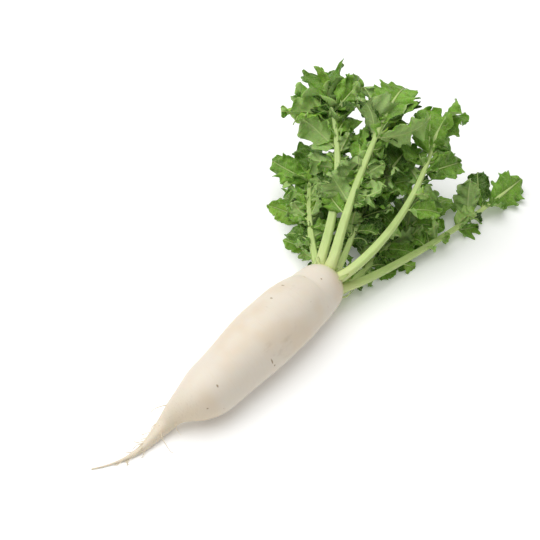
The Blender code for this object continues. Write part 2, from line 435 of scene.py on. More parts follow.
class DaikonStageSettings(bpy.types.PropertyGroup):
    azimuth: FloatProperty(name="Azimuth", description="Camera turn about the object", default=-51.0)
    elevation: FloatProperty(name="Elevation", description="Camera height angle", default=45.0)
    distance: length_property("Distance", 1.629, "Camera distance from what it looks at")
    lens: FloatProperty(name="Lens", description="Focal length in millimetres", default=100.0)
    floor: colour_property("Floor", "FCFCFB", "Colour of the floor")
    key_power: FloatProperty(
        name="Key light", description="Power of the large light", default=146.0, unit="POWER"
    )
    floor_glow: FloatProperty(name="Floor glow", description="Light from under the floor", default=0.12)
    fill: FloatProperty(name="Sky", description="Strength of the even light from all round", default=0.27)


# ---------------------------------------------------------------- root


Scar = namedtuple("Scar", "along around half_along half_round")
# Shares of the skin's length from the crown and of its girth from the top, and half sizes.
SCARS = (
    Scar(0.43, 0.205, 1.1 * MM, 4.0 * MM),
    Scar(0.425, 0.24, 1.4 * MM, 1.5 * MM),
    Scar(0.16, 0.97, 1.0 * MM, 3.0 * MM),
    Scar(0.24, 0.94, 0.9 * MM, 2.6 * MM),
    Scar(0.3, 0.96, 1.3 * MM, 1.8 * MM),
    Scar(0.13, 0.05, 1.0 * MM, 1.4 * MM),
    Scar(0.6, 0.1, 0.9 * MM, 2.4 * MM),
    Scar(0.64, 0.19, 1.1 * MM, 1.3 * MM),
    Scar(0.3, 0.4, 1.0 * MM, 4.0 * MM),
    Scar(0.52, 0.66, 1.0 * MM, 4.0 * MM),
    Scar(0.36, 0.78, 1.2 * MM, 2.0 * MM),
    Scar(0.2, 0.6, 1.0 * MM, 3.0 * MM),
)
SKIN_GIRTH = 2 * math.pi * 34 * MM
SKIN_LENGTH = 0.4
TAUT_PASSES = 4000  # enough for the stretch from the dome to the barrel to come straight


def root_skin_material(settings):
    """Thin moist taproot skin, washed: a cream satin with faint rings, scars and a greener crown."""
    material, tree, shader = start_material("daikon root skin")
    node = partial(add_node, tree)
    coordinates = node("TexCoord").node.outputs["Object"]
    place = node("UVMap", uv_map="place")
    size = node("UVMap", uv_map="size")
    crown = node("Attribute", attribute_name="crown").node.outputs["Fac"]
    tail = node("Attribute", attribute_name="tail").node.outputs["Fac"]

    # Broad patches about 50 mm across, where the skin is warmer.
    patches = node("MapRange", node("TexNoise", coordinates, 20.0, 2.0), 0.42, 0.68, 0.0, 0.75, **EASED)
    colour = node("Mix", patches, settings.skin, settings.skin_warm, data_type="RGBA")
    # Faint rings: threads of colour 1.5 mm apart that run round the root.
    rings = node("TexNoise", node("Mapping", size, Scale=(5.0, 0.35, 1.0)), 1.3, 4.0, 0.6)
    ring_share = node("MapRange", rings, 0.52, 0.74, 0.0, 0.3, **EASED)
    colour = node("Mix", ring_share, colour, settings.skin_warm, data_type="RGBA")
    # Rub marks: soft brown smudges on the shoulders.
    rubbed = node("TexNoise", node("Mapping", coordinates, Scale=(1.0, 1.6, 1.6)), 17.0, 5.0, 0.65)
    rubbed = node("MapRange", rubbed, 0.6, 0.78, 0.0, 0.28, **EASED)
    colour = node("Mix", rubbed, colour, settings.marks, data_type="RGBA")
    # The tail is yellower, with brown threads along its creases.
    threads = node("TexNoise", node("Mapping", size, Scale=(9.0, 0.8, 1.0)), 1.6, 4.0, 0.7)
    thread_share = node("MapRange", threads, 0.5, 0.75, **EASED)
    tail_colour = node("Mix", thread_share, settings.tail, settings.marks, data_type="RGBA")
    tail_share = node("Math", threads, 0.42, 0.26, operation="MULTIPLY_ADD")
    tail_share = node("Math", tail, tail_share, operation="MULTIPLY")
    colour = node("Mix", tail_share, colour, tail_colour, data_type="RGBA")
    crown_share = node("Math", crown, 0.9, operation="MULTIPLY")
    colour = node("Mix", crown_share, colour, settings.crown, data_type="RGBA")

    # Thin brown dashes round the root, a few centimetres apart: three cells in ten of the pattern have one.
    dash = node("TexVoronoi", node("Mapping", size, Scale=(1.0, 0.28, 1.0)), 0.9)
    picked = node("SeparateColor", dash.node.outputs["Color"])
    picked = node("MapRange", picked, 0.72, 0.76, 0.0, 0.35, **EASED)
    dash = node("MapRange", dash, 0.03, 0.075, 1.0, 0.0, **EASED)
    marks = node("Math", dash, picked, operation="MULTIPLY")
    # Specks under half a millimetre, drawn a little larger so that they show.
    speck = node("TexVoronoi", coordinates, 190.0)
    picked = node("SeparateColor", speck.node.outputs["Color"]).node.outputs["Green"]
    picked = node("MapRange", picked, 0.95, 0.96, 0.0, 0.7, **EASED)
    patchy = node("MapRange", node("TexNoise", coordinates, 26.0, 2.0), 0.46, 0.6, **EASED)
    speck = node("MapRange", speck, 0.05, 0.13, 1.0, 0.0, **EASED)
    speck = node("Math", speck, node("Math", picked, patchy, operation="MULTIPLY"), operation="MULTIPLY")
    marks = node("Math", marks, speck, operation="MAXIMUM")
    # Old eye scars, each where a fine root broke off, with a ragged edge.
    ragged = node("Math", node("TexNoise", coordinates, 900.0, 3.0), 0.9, -0.45, operation="MULTIPLY_ADD")
    for scar in SCARS:
        spread = (SKIN_LENGTH / scar.half_along, SKIN_GIRTH / scar.half_round, 0.0)
        back = (-scar.along * spread[0], -scar.around * spread[1], 0.0)
        off = node("VectorMath", node("Mapping", place, Location=back, Scale=spread), operation="LENGTH")
        off = node("Math", off, ragged, operation="ADD")
        marks = node("Math", marks, node("MapRange", off, 0.5, 1.1, 0.75, 0.0, **EASED), operation="MAXIMUM")
    colour = node("Mix", marks, colour, settings.marks, data_type="RGBA")
    tree.links.new(colour, shader.inputs["Base Color"])

    rough = node("Math", rings, 0.22, 0.3, operation="MULTIPLY_ADD")
    rough = node("Math", marks, 0.25, rough, operation="MULTIPLY_ADD")
    tree.links.new(rough, shader.inputs["Roughness"])
    shader.inputs["IOR"].default_value = 1.40
    shader.inputs["Subsurface Weight"].default_value = 0.22
    shader.inputs["Subsurface Radius"].default_value = (1.0, 0.6, 0.35)
    shader.inputs["Subsurface Scale"].default_value = 3 * MM

    # Fine crepe of the skin, under a millimetre, with the marks cut in.
    crepe = node("TexNoise", node("Mapping", size, Scale=(14.0, 5.0, 1.0)), 1.5, 3.0, 0.6)
    crepe = node("Math", crepe, 0.35, operation="MULTIPLY")
    relief = node("Math", marks, -0.8, crepe, operation="MULTIPLY_ADD")
    bump = node("Bump", Strength=0.25, Distance=0.25 * MM, Height=relief)
    tree.links.new(bump, shader.inputs["Normal"])
    return material


def root_profile():
    """Middle line and radius from the very top of the dome to the tip, at even steps along the skin."""
    turned = np.linspace(0, math.radians(60), 14)
    x = ROOT.dome_centre[0] + ROOT.dome_radius * np.cos(turned)
    start = np.stack([x, np.full(14, ROOT.dome_centre[1]), np.full(14, ROOT.dome_centre[2])], axis=1)
    behind = ROOT.line[:, 0] < x[-1] - 1 * MM
    line = np.concatenate([start, ROOT.line[behind]])
    radii = np.concatenate([ROOT.dome_radius * np.sin(turned), ROOT.radii[behind]])
    skin = np.hypot(np.linalg.norm(np.diff(line, axis=0), axis=1), np.diff(radii))
    gone = np.concatenate([[0], np.cumsum(skin)])
    at = np.linspace(0, gone[-1], 1 + round(gone[-1] / (1.0 * MM)))
    points = np.stack([np.interp(at, gone, line[:, i]) for i in range(3)], axis=1)
    widths = np.interp(at, gone, radii)
    points[20:] = smoothed(points, 12)[20:]
    # The skin is taut over the shoulder: no place is narrower than the mean of its two neighbours.
    widest = int(np.argmax(widths))
    for _ in range(TAUT_PASSES):
        widths[1:widest] = np.maximum(widths[1:widest], (widths[:widest - 1] + widths[2:widest + 1]) / 2)
    widths[20:] = smoothed(widths, 12)[20:]
    widths[0], widths[-1] = 0, 0
    return points, widths, at


def ridged(value):
    """1 where a noise crosses zero, and less on both sides of that."""
    return 1 - abs(value) * 2


def skin_height(x, angle, radius, settings):
    """How far the skin stands off a turned shape at a place on the root."""
    around = Vector((math.cos(angle), math.sin(angle), 0)) * max(radius, 4 * MM)
    spot = Vector((x, around.x, around.y))
    broad = noise.noise(spot * 14) * settings.waviness + noise.noise(spot * 34) * settings.waviness * 0.3
    crease_spot = Vector((x * 330, around.x * 32, around.y * 32))
    crease = max(0.0, ridged(noise.noise(crease_spot)) - 0.72) / 0.28
    where = max(0.0, min(1.0, noise.noise(spot * 22) * 2.4 + 0.25))
    return broad - crease * where * settings.crease_depth


class DAIKON_OT_root(bpy.types.Operator):
    """Model the root's skin over its solid"""

    bl_idname = "daikon.root"
    bl_label = "Root"

    def execute(self, context):
        settings = context.scene.daikon_root
        points, widths, gone = root_profile()
        ahead, side, above = frames_along(points, (0, 0, 1))
        count = len(points)
        around = 210

        def place(u, v):
            row = np.clip(np.round(u * (count - 1)).astype(int), 0, count - 1)
            angle = np.where(v > 0.9999, 0.0, v) * 2 * math.pi
            thick = np.minimum(1, widths[row] / (6 * MM))
            heights = np.array([
                skin_height(points[i][0], a, widths[i], settings) for i, a in zip(row, angle)
            ])
            reach = widths[row] + heights * thick
            out = side[row] * np.sin(angle)[:, None] + above[row] * np.cos(angle)[:, None]
            placed = points[row] + out * reach[:, None]
            placed[:, 2] = np.maximum(placed[:, 2], 0.0)
            return placed

        def uv_of(u, v):
            row = np.clip(np.round(u * (count - 1)).astype(int), 0, count - 1)
            return np.stack([u, v, gone[row] * 100, v * SKIN_GIRTH * 100], axis=1)

        shape = start_shape()
        add_sheet(shape, count - 1, around, place, uv_of, closed=True)
        piece = finish_shape(
            shape, "root_skin", [root_skin_material(settings)], ["root"], outward=True
        )
        positions = np.array([vertex.co for vertex in piece.data.vertices])
        apex = ROOT.dome_centre + np.array([ROOT.dome_radius, 0, 0])
        crown = 1 - smooth(16 * MM, 34 * MM, np.linalg.norm(positions - apex, axis=1))
        tail = 1 - smooth(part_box("root")[0].x + 60 * MM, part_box("root")[0].x + 130 * MM, positions[:, 0])
        for name, values in (("crown", crown), ("tail", tail)):
            layer = piece.data.attributes.new(name, "FLOAT", "POINT")
            layer.data.foreach_set("value", values.astype(np.float32))
        return {"FINISHED"}


class DAIKON_OT_hair_roots(bpy.types.Operator):
    """Add the hair roots that curl from the tail"""

    bl_idname = "daikon.hair_roots"
    bl_label = "Hair roots"

    def execute(self, context):
        settings = context.scene.daikon_root
        draw = random.Random(11)
        shape = start_shape()
        tail = np.nonzero((ROOT.radii < 14 * MM) & (ROOT.radii > 1.5 * MM))[0]
        for _ in range(settings.hair_count):
            at = draw.choice(list(tail))
            radius, centre = ROOT.radii[at], ROOT.line[at]
            angle = draw.uniform(-0.9, 0.9) * math.pi
            out = np.array([-0.35, math.sin(angle), math.cos(angle)])
            out /= np.linalg.norm(out)
            start = centre + out * np.array([0, 1, 1]) * radius * 0.8
            heading = out * 0.8 + np.array([-0.8, draw.uniform(-0.5, 0.5), 0])
            curl = draw.uniform(-110, 110)
            length = draw.choice((9, 14, 20, 28, 40)) * draw.uniform(0.8, 1.1) * MM
            steps = 22
            line = [start]
            for _ in range(steps):
                heading = heading / np.linalg.norm(heading)
                following = line[-1] + heading * length / steps
                following[2] = max(following[2], 0.35 * MM)
                line.append(following)
                turn = Matrix.Rotation(math.radians(curl / steps), 3, "Z")
                heading = np.array(turn @ Vector(heading)) + np.array([0, 0, -0.12])
                heading += np.array([draw.uniform(-1, 1) for _ in range(3)]) * 0.08
            radii = np.linspace(draw.uniform(0.35, 0.55), 0.15, steps + 1) * MM
            add_tube(shape, np.array(line), radii, 6, 1 * MM, (0, 0, 1))
        material, tree, shader = start_material("dried hair root")
        # A dry root hair: pale straw, browner along some of its length.
        node = partial(add_node, tree)
        mottle = node("TexNoise", node("TexCoord").node.outputs["Object"], 160.0, 3.0)
        mottle = node("MapRange", mottle, 0.4, 0.7, **EASED)
        colour = node("Mix", mottle, settings.tail, settings.skin_warm, data_type="RGBA")
        tree.links.new(colour, shader.inputs["Base Color"])
        shader.inputs["Roughness"].default_value = 0.6
        finish_shape(shape, "hair_roots", [material], [], outward=True)
        return {"FINISHED"}


# ---------------------------------------------------------------- stalks


def stalk_material(settings):
    """Live petiole skin: pale yellow-green satin, finely streaked, and paler where light never reached."""
    material, tree, shader = start_material("fresh leaf stalk")
    node = partial(add_node, tree)
    coordinates = node("TexCoord").node.outputs["Object"]
    along = node("SeparateXYZ", node("UVMap", uv_map="place"))
    main = node("Attribute", attribute_name="tone").node.outputs["Fac"]

    # Streaks under a millimetre wide that run along the stalk.
    stretched = node("Mapping", node("UVMap", uv_map="size"), Scale=(0.6, 16.0, 1.0))
    streaks = node("TexNoise", stretched, 1.4, 3.0, 0.6)
    clouds = node("TexNoise", coordinates, 55.0, 3.0)
    share = node("Math", clouds, 0.8, -0.45, operation="MULTIPLY_ADD")
    share = node("Math", streaks, 0.75, share, operation="MULTIPLY_ADD", use_clamp=True)
    colour = node("Mix", share, settings.stalk, settings.stalk_dark, data_type="RGBA")
    pale = node("MapRange", along, 0.0, 0.16, 1.0, 0.0, **EASED)
    pale = node("Math", pale, node("MapRange", main, 0.9, 1.0, **EASED), operation="MULTIPLY")
    colour = node("Mix", pale, colour, settings.stalk_foot, data_type="RGBA")
    tree.links.new(colour, shader.inputs["Base Color"])

    rough = node("Math", streaks, 0.25, 0.26, operation="MULTIPLY_ADD")
    tree.links.new(rough, shader.inputs["Roughness"])
    shader.inputs["IOR"].default_value = 1.42
    shader.inputs["Subsurface Weight"].default_value = 0.18
    shader.inputs["Subsurface Radius"].default_value = (0.6, 1.0, 0.25)
    shader.inputs["Subsurface Scale"].default_value = 2 * MM
    bump = node("Bump", Strength=0.35, Distance=0.3 * MM, Height=streaks)
    tree.links.new(bump, shader.inputs["Normal"])
    return material


def stalk_profile(length, foot_flare):
    """The stalk's width and height factors: a groove along the top, low ribs, and a broad flat foot."""

    def profile(gone, angle):
        folded = np.abs(np.where(angle > math.pi, angle - 2 * math.pi, angle))
        groove = 0.24 * np.exp(-((folded / 0.5) ** 2)) * smooth(0.02, 0.12, gone / length)
        ribs = 0.022 * np.cos(9 * angle)
        flare = foot_flare * (1 - smooth(0.0, 16 * MM, gone))
        return 0.98 + flare + ribs - groove * 0.3, 0.88 + flare * 0.4 + ribs - groove

    return profile


def node_blades(number):
    """The names of a leaf's packed blades."""
    return sorted(
        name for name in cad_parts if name.startswith(f"leaf_{number}_") and not name.endswith("_stalk")
    )


def tip_fall(leaflet, share):
    """How far a blade's tip curls down, at shares of its length."""
    curl = random.Random(leaflet.seed + 1).uniform(-0.1, 0.45) * leaflet.curl
    return curl * leaflet.length * np.clip(share - 0.55, 0, 1) ** 2


def midrib_line(leaflet, start, end, count=26):
    """Points along a blade's midrib, from one distance along it to another."""
    x = np.linspace(start, end, count)
    return leaflet.place(x, np.zeros(count), -tip_fall(leaflet, x / leaflet.length))


def leaf_upper(stalk):
    """The direction of a leaf's upper side at its foot."""
    ahead = directions_along(stalk.line)[0]
    upper = np.array([0, 0, 1.0]) - ahead * ahead[2]
    return upper / np.linalg.norm(upper)


class DAIKON_OT_stalks(bpy.types.Operator):
    """Model each leaf's grooved stalk and the midribs that leave it"""

    bl_idname = "daikon.stalks"
    bl_label = "Stalks"

    def execute(self, context):
        material = stalk_material(context.scene.daikon_leaf)
        for number in LEAVES:
            stalk = STALKS[number]
            shape = start_shape()
            inward = ROOT.dome_centre - stalk.line[0]
            inward /= np.linalg.norm(inward)
            end_blade = next(leaflet for leaflet in LEAFLETS[number] if leaflet.inset == 0)
            rib = midrib_line(end_blade, 4 * MM, end_blade.length * 0.93)
            line = np.concatenate([[stalk.line[0] + inward * 5 * MM], stalk.line[:-1], rib])
            end_radii = stalk.radii[-1] * np.linspace(1, 0.12, len(rib)) ** 1.1
            radii = np.concatenate([[stalk.radii[0]], stalk.radii[:-1], end_radii])
            length = np.linalg.norm(np.diff(line, axis=0), axis=1).sum()
            add_tube(
                shape, line, radii, 28, 1.3 * MM, leaf_upper(stalk), stalk_profile(length, 0.16), tone=1.0
            )
            for leaflet in LEAFLETS[number]:
                rib = midrib_line(leaflet, -leaflet.inset, leaflet.length * 0.9)
                thick = 0.3 * MM + leaflet.length * 0.014
                widths = np.linspace(1, 0.15, len(rib)) * thick
                add_tube(shape, rib, widths, 8, 1.6 * MM, (0, 0, 1), tone=0.0)
            finish_shape(
                shape, f"leaf_{number}_stalk_skin", [material], [f"leaf_{number}_stalk"],
                outward=True,
            )
        return {"FINISHED"}


CROWN_SCALES = 22
CROWN_TENDRILS = 7


def add_crown_scale(shape, place, length, half, seed):
    """One pointed scale, made as a thin closed sleeve so that it has two sides."""

    def placed(u, v):
        angle = v * 2 * math.pi
        wide = half * np.sin(math.pi * np.clip(0.12 + 0.88 * u, 0, 1)) ** 0.7
        wide = wide * (1 + 0.12 * np.sin(9 * u + seed * 20))
        return place(u * length, np.sin(angle) * wide, np.cos(angle) * 0.35 * MM * np.minimum(1, wide / MM))

    def uv_of(u, v):
        return np.stack([u, v, u * length * 100, v * half * 400], axis=1)

    add_sheet(shape, 14, 16, placed, uv_of, seed, closed=True)


class DAIKON_OT_crown(bpy.types.Operator):
    """Add the pale scales and tendrils between the stalks' feet"""

    bl_idname = "daikon.crown"
    bl_label = "Crown scales"

    def execute(self, context):
        settings = context.scene.daikon_leaf
        draw = random.Random(5)
        shape = start_shape()
        for i in range(CROWN_SCALES):
            turn = 2 * math.pi * (i * 0.382 + draw.uniform(-0.03, 0.03))
            tilt = math.radians(draw.uniform(12, 62))
            out = np.array([0, math.cos(turn), math.sin(turn)])
            square = np.array([math.cos(tilt), 0, 0]) + out * math.sin(tilt)
            foot = ROOT.dome_centre + square * (ROOT.dome_radius - 1.5 * MM)
            length = draw.uniform(8, 17) * MM
            place = arched_surface(
                foot, square + np.array([0.5, 0, 0]), square - np.array([1, 0, 0]) * 1.2, length,
                draw.uniform(-0.9, -0.2) if i % 2 else draw.uniform(0.2, 0.9), 1.6, draw.uniform(-0.6, 0.6),
            )
            add_crown_scale(shape, place, length, draw.uniform(1.3, 2.6) * MM, draw.random())
        for _ in range(CROWN_TENDRILS):
            turn, tilt = draw.uniform(0, 2 * math.pi), math.radians(draw.uniform(20, 55))
            heading = np.array([
                math.cos(tilt), math.sin(tilt) * math.cos(turn), math.sin(tilt) * math.sin(turn),
            ])
            line = [ROOT.dome_centre + heading * (ROOT.dome_radius - 1 * MM)]
            axis = Vector((heading[1], -heading[0], 0.6))
            curl = Matrix.Rotation(math.radians(draw.uniform(-17, 17)), 3, axis)
            for _ in range(16):
                line.append(line[-1] + heading * draw.uniform(1.2, 1.8) * MM)
                line[-1][2] = max(line[-1][2], 1 * MM)
                heading = np.array(curl @ Vector(heading))
            radii = np.linspace(0.6, 0.25, len(line)) * MM
            add_tube(shape, np.array(line), radii, 8, 0.6 * MM, (0, 0, 1), tone=0.6)
        material, tree, shader = start_material("young leaf bases")
        # Blanched leaf tissue: pale yellow-green, drying to light brown in places and at the tips.
        node = partial(add_node, tree)
        along = node("SeparateXYZ", node("UVMap", uv_map="place"))
        colour = node("Mix", along, settings.stalk_foot, settings.stalk_dark, data_type="RGBA")
        dry = node("TexNoise", node("TexCoord").node.outputs["Object"], 210.0, 3.0)
        dry = node("Math", dry, node("MapRange", along, 0.55, 1.0, **EASED), operation="ADD")
        dry = node("MapRange", dry, 0.75, 1.35, 0.0, 0.35, **EASED)
        colour = node("Mix", dry, colour, context.scene.daikon_root.marks, data_type="RGBA")
        tree.links.new(colour, shader.inputs["Base Color"])
        shader.inputs["Roughness"].default_value = 0.5
        finish_shape(shape, "crown_scales", [material], [], outward=True)
        return {"FINISHED"}


# ---------------------------------------------------------------- blades


Leaflet = namedtuple("Leaflet", "place length left right inset lobes seed tone curl")
# A leaf's small leaflets: where the lowest are and how far apart, as shares of its stalk, how large they are
# on the right and on the left, and how far they may rise from its flat side, as slopes. The front leaves are
# bare for longer, and the two that stand highest hold theirs behind the stalk.
Row = namedtuple("Row", "start spacing right left lowest highest")
SMALL_LEAFLETS = {
    "1": Row(0.52, 0.11, 0.6, 1.0, 0.2, 1.3),
    "2": Row(0.66, 0.06, 0.6, 1.3, -1.0, 0.6),
    "3": Row(0.35, 0.07, 1.0, 1.0, -0.3, 1.0),
    "4": Row(0.42, 0.055, 1.3, 1.3, -1.6, -0.1),
    "5": Row(0.4, 0.04, 1.3, 1.6, -1.8, -0.1),
    "6": Row(0.2, 0.06, 1.0, 1.1, -0.8, 0.8),
    "7": Row(0.16, 0.05, 1.0, 1.0, -0.3, 1.3),
    "8": Row(0.16, 0.05, 1.0, 1.0, -0.3, 1.3),
    "9": Row(0.16, 0.06, 1.0, 0.5, -0.3, 1.3),
}


def packed_leaflets(number, draw):
    """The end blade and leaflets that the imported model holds."""
    stalk = STALKS[number]
    found = []
    for name in node_blades(number):
        blade = measure_blade(name, stalk)
        end = name.endswith("end_blade")
        inset = 0 if end else float(stalk.radii.mean())
        tone = draw.uniform(0.15, 0.85)
        lobes, curl = (4, 0.75) if end else (3, 0.4)
        found.append(Leaflet(
            blade_surface(blade), blade.length, blade.left, blade.right, inset, lobes, draw.random(), tone,
            curl,
        ))
    return found


def small_leaflets(number, draw):
    """Leaflets that are not solids of their own, up both sides of the stalk and longer towards its end."""
    stalk = STALKS[number]
    ahead, side, above = frames_along(stalk.line, leaf_upper(stalk))
    found = []
    count = len(stalk.line)
    row = SMALL_LEAFLETS[number]
    share = row.start
    while share < 1.0:
        for hand in (-1, 1):
            at = int(np.clip((share + draw.uniform(-0.02, 0.02)) * count, 0, count - 2))
            length = (12 + 32 * share**1.4) * draw.uniform(0.55, 1.3) * (row.left if hand > 0 else row.right)
            length = min(length, 62) * MM
            forward = math.radians(draw.uniform(25, 90) - 30 * smooth(0.6, 1.0, share))
            raised = draw.uniform(row.lowest, row.highest)
            out = side[at] * hand + above[at] * raised
            out /= np.linalg.norm(out)
            direction = ahead[at] * math.cos(forward) + out * math.sin(forward)
            normal = above[at] - side[at] * hand * raised + ahead[at] * draw.uniform(-0.6, 0.6)
            if draw.random() < 0.3:
                normal = -normal
            foot = stalk.line[at] + out * stalk.radii[at] * 0.7
            droop, cup, twist = draw.uniform(0.4, 2.2), draw.uniform(-0.8, 1.6), draw.uniform(-1.3, 1.3)
            place = arched_surface(foot, direction, normal, length, droop, cup, twist)
            half = length * draw.uniform(0.3, 0.46)
            # Leaflets on the lower half of the stalk, inside the leaf mass, only get the darker tones:
            # painted shade from the leaves around them.
            tone = draw.uniform(0.0, 0.55 if share < 0.5 else 1.0)
            found.append(Leaflet(place, length, half, half, stalk.radii[at], 3, draw.random(), tone, 1.0))
        share += row.spacing * draw.uniform(0.8, 1.2)
    return found


def scallop(phase):
    """A rounded tooth that leans towards the blade's tip, for a phase of 0 to 1."""
    return np.minimum(1 - (1 - phase) ** 2, (1 - phase) / 0.16)


def blade_outline(share, leaflet, shift):
    """Half the width at a share of the length, as a share of the greatest: a body with lobes and teeth."""
    seed = leaflet.seed + shift
    body = np.sin(math.pi * np.clip(share, 0, 1) ** (0.8 if leaflet.length > 35 * MM else 0.9)) ** 0.55
    warped = share + 0.035 * np.sin(2 * math.pi * (2.3 * share + seed * 3))
    depth = 0.1 + 0.24 * np.sin(math.pi * (1.7 * share + seed * 5)) ** 2
    lobe = scallop((warped * leaflet.lobes + seed) % 1.0)
    tooth = scallop((warped * leaflet.lobes * 2.7 + seed * 3) % 1.0)
    return body * (1 - depth + depth * lobe) * (0.9 + 0.1 * tooth) + 0.02


def add_blade(shape, leaflet, settings):
    """Adds one ruffled, toothed and puckered blade to the bmesh."""
    size = leaflet.length
    rows = int(np.clip(size / (0.8 * MM), 24, 80))
    columns = int(np.clip((leaflet.left + leaflet.right) / (1.4 * MM), 10, 32) // 2 * 2)
    draw = random.Random(leaflet.seed)
    waves = [(draw.uniform(1.2, 4.5), draw.uniform(-1.2, 1.2), draw.uniform(0, 6.28)) for _ in range(4)]
    turns = [draw.uniform(0, math.pi) for _ in range(3)]
    folds = [
        (np.array([math.cos(turn), math.sin(turn)]) / (draw.uniform(6, 13) * MM), draw.uniform(0, 6))
        for turn in turns
    ]
    veins = leaflet.lobes * 1.5
    ruffle = settings.ruffle * min(1.2, size / (38 * MM))
    curl = draw.uniform(-0.4, 0.4) * leaflet.curl

    def flat(u, v):
        across = v * 2 - 1
        half = np.where(across > 0, leaflet.left, leaflet.right)
        outline = blade_outline(u, leaflet, np.where(across > 0, 0.0, 0.37))
        y = across * half * outline
        x = u * size + 0.42 * np.abs(y) * (1 - u)
        return x, y, across

    def place(u, v):
        x, y, across = flat(u, v)
        edge = np.abs(across)
        wave = sum(np.sin(2 * math.pi * (f * u + g * across) + p) for f, g, p in waves) / 2
        shift = np.where(across > 0, 0.0, 0.5)
        furrow = np.abs(((u * veins + shift) % 1.0) - 0.5) * 2
        pucker = (1 - furrow**2) * np.clip(edge * 3, 0, 1) * (1 - edge**3)
        crumple = sum(np.sin(2 * math.pi * (f[0] * x + f[1] * y) + p) for f, p in folds) / 3
        crease = np.exp(-((y / (1.6 * MM)) ** 2))
        half = (leaflet.left + leaflet.right) / 2
        lift = ruffle * edge**1.6 * wave + 0.016 * size * pucker - 0.9 * MM * crease
        lift += settings.crumple * crumple * np.clip(edge * 2.5, 0, 1)
        lift += curl * half * edge**2.5 - tip_fall(leaflet, u)
        points = leaflet.place(x, y, lift)
        # The highest edges bend over, and the lowest lie on the surface.
        top = CAD_BOX[1][2] + 3 * MM
        points[:, 2] -= np.maximum(points[:, 2] - top, 0) * 0.6
        points[:, 2] = np.maximum(points[:, 2], 0.4 * MM)
        return points

    def uv_of(u, v):
        x, y, _ = flat(u, v)
        return np.stack([u * veins, v, x * 100 + leaflet.seed * 7, y * 100], axis=1)

    add_sheet(shape, rows, columns, place, uv_of, leaflet.tone)


def vein_pattern(node):
    """Two shares of vein at a point: of the midrib and side veins, and of those with the net between."""
    place = node("SeparateXYZ", node("UVMap", uv_map="place")).node
    size = node("UVMap", uv_map="size")
    off_middle = node("Math", node("SeparateXYZ", size).node.outputs["Y"], operation="ABSOLUTE")
    midrib = node("MapRange", off_middle, 0.04, 0.11, 1.0, 0.0, **EASED)

    # Side veins leave the midrib by turns, fade at the blade's edge and wander a little.
    edge = node("Math", place.outputs["Y"], 2.0, -1.0, operation="MULTIPLY_ADD")
    edge = node("Math", edge, operation="ABSOLUTE")
    right_half = node("Math", place.outputs["Y"], 0.5, operation="LESS_THAN")
    step = node("Math", right_half, 0.5, place.outputs["X"], operation="MULTIPLY_ADD")
    step = node("Math", node("TexNoise", size, 1.2, 2.0), 0.3, step, operation="MULTIPLY_ADD")
    step = node("Math", node("Math", step, 0.15, operation="SUBTRACT"), operation="FRACT")
    nearness = node("Math", node("Math", step, 0.5, operation="SUBTRACT"), operation="ABSOLUTE")
    side_vein = node("MapRange", nearness, 0.455, 0.492, 0.0, 0.75, **EASED)
    faded = node("MapRange", edge, 0.55, 1.0, 1.0, 0.0, **EASED)
    side_vein = node("Math", side_vein, faded, operation="MULTIPLY")
    large = node("Math", midrib, side_vein, operation="MAXIMUM")

    # The net of small veins has cells about 2 mm across.
    net = node("TexVoronoi", size, 4.5, feature="DISTANCE_TO_EDGE")
    net = node("MapRange", net, 0.02, 0.09, 0.35, 0.0, **EASED)
    return large, node("Math", large, net, operation="MAXIMUM")


def blade_material(settings, name, underside):
    """Living leaf tissue: waxy and dark above, matt and greyer below, where the veins are raised."""
    material, tree, shader = start_material(name)
    node = partial(add_node, tree)
    large_veins, veins = vein_pattern(node)
    tone = node("Attribute", attribute_name="tone").node.outputs["Fac"]
    clouds = node("TexNoise", node("TexCoord").node.outputs["Object"], 70.0, 3.0)
    mottle = node("TexNoise", node("UVMap", uv_map="size"), 3.5, 4.0, 0.6)

    # Low tones mix in the dark colour. The small leaflets low on a stalk only get low tones, so here the
    # shade inside the leaf mass is painted in.
    dark = node("MapRange", tone, 0.05, 0.5, 0.92, 0.0, **EASED)
    colour = node("Mix", dark, settings.upper, settings.upper_dark, data_type="RGBA")
    bright = node("MapRange", tone, 0.7, 1.0, **EASED)
    colour = node("Mix", bright, colour, settings.upper_bright, data_type="RGBA")
    shade = node("Math", mottle, 0.8, -0.84, operation="MULTIPLY_ADD")
    shade = node("Math", clouds, 1.3, shade, operation="MULTIPLY_ADD", use_clamp=True)
    colour = node("Mix", shade, colour, settings.upper_dark, data_type="RGBA")
    if underside:
        colour = node("Mix", 0.62, colour, settings.under, data_type="RGBA")
    vein_share = node("Math", veins, 0.8 if underside else 0.62, operation="MULTIPLY")
    colour = node("Mix", vein_share, colour, settings.veins, data_type="RGBA")
    tree.links.new(colour, shader.inputs["Base Color"])

    rough = node("Math", mottle, 0.25, 0.42 if underside else 0.3, operation="MULTIPLY_ADD")
    tree.links.new(rough, shader.inputs["Roughness"])
    shader.inputs["IOR"].default_value = 1.42
    shader.inputs["Subsurface Weight"].default_value = 0.35
    shader.inputs["Subsurface Radius"].default_value = (0.35, 1.0, 0.12)
    shader.inputs["Subsurface Scale"].default_value = 1.2 * MM
    shader.inputs["Specular IOR Level"].default_value = 0.27

    # The veins stand up from the underside and are sunk in the upper side. Wrinkles lie about 5 mm apart.
    wrinkles = node("TexNoise", node("UVMap", uv_map="size"), 1.9, 2.0, 0.55)
    relief = node("Math", mottle, 0.5, wrinkles, operation="MULTIPLY_ADD")
    relief = node("Math", large_veins, 0.8 if underside else -0.7, relief, operation="MULTIPLY_ADD")
    bump = node("Bump", Strength=0.7, Distance=0.9 * MM, Height=relief)
    tree.links.new(bump, shader.inputs["Normal"])
    return material


